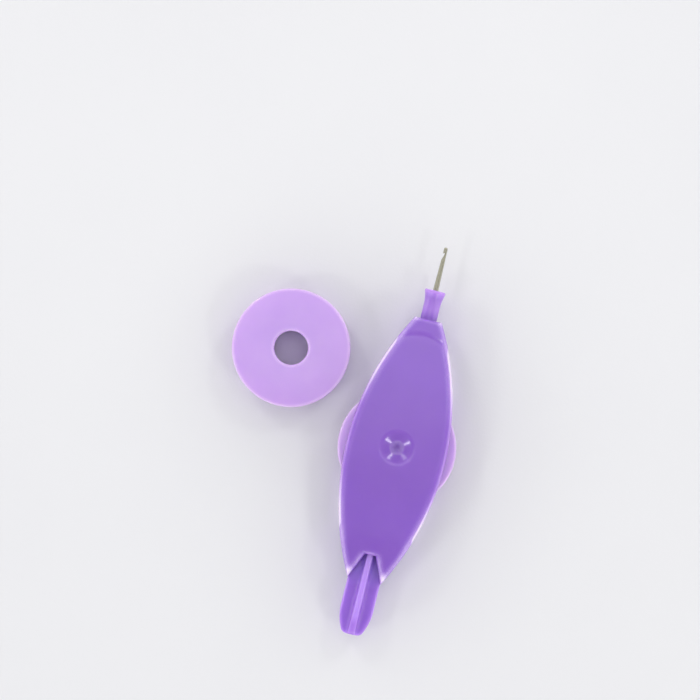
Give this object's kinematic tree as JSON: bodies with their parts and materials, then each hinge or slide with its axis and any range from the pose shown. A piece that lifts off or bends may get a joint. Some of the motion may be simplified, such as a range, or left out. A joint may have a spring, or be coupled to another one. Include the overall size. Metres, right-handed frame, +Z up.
{
  "type": "tatting shuttle",
  "caption": "Flat tatting shuttle with a turning bobbin between two leaf-shaped blades, a steel hook, a cross-shaped bobbin winder and a spare bobbin beside it.",
  "frame": {"origin": "on the loaded bobbin's spin axis, in the plane that the shuttle's lower blade and the spare bobbin rest on", "axes": "+Y along the shuttle to the hook's tip, +Z up through the blades along the bobbin's axis, +X to the right"},
  "size_m": [0.0525, 0.0853, 0.0112],
  "materials": {
    "shuttle_plastic": "glossy, slightly translucent purple, moulded",
    "bobbin_plastic": "satin gloss, slightly translucent lilac, moulded",
    "hook_steel": "drawn steel wire, polished at the tip"
  },
  "bodies": {
    "shuttle": {"upper_blade": "shuttle_plastic", "lower_blade": "shuttle_plastic", "hook_holder": "shuttle_plastic", "bobbin_winder": "shuttle_plastic", "crochet_hook": "hook_steel"},
    "loaded_bobbin": {"loaded_bobbin_spool": "bobbin_plastic", "loaded_bobbin_flange": "bobbin_plastic"},
    "spare_bobbin": {"spare_bobbin_spool": "bobbin_plastic", "spare_bobbin_flange": "bobbin_plastic"}
  },
  "joints": [
    {"name": "bobbin_spin", "type": "hinge", "parent": "shuttle", "child": "loaded_bobbin", "pos_m": [0, 0, 0.0056], "axis": [0, 0, 1], "continuous": true},
    {"name": "spare_bobbin_lift", "type": "slide", "parent": "shuttle", "child": "spare_bobbin", "axis": [0, 0, 1], "range_m": [0, 0.03]}
  ]
}
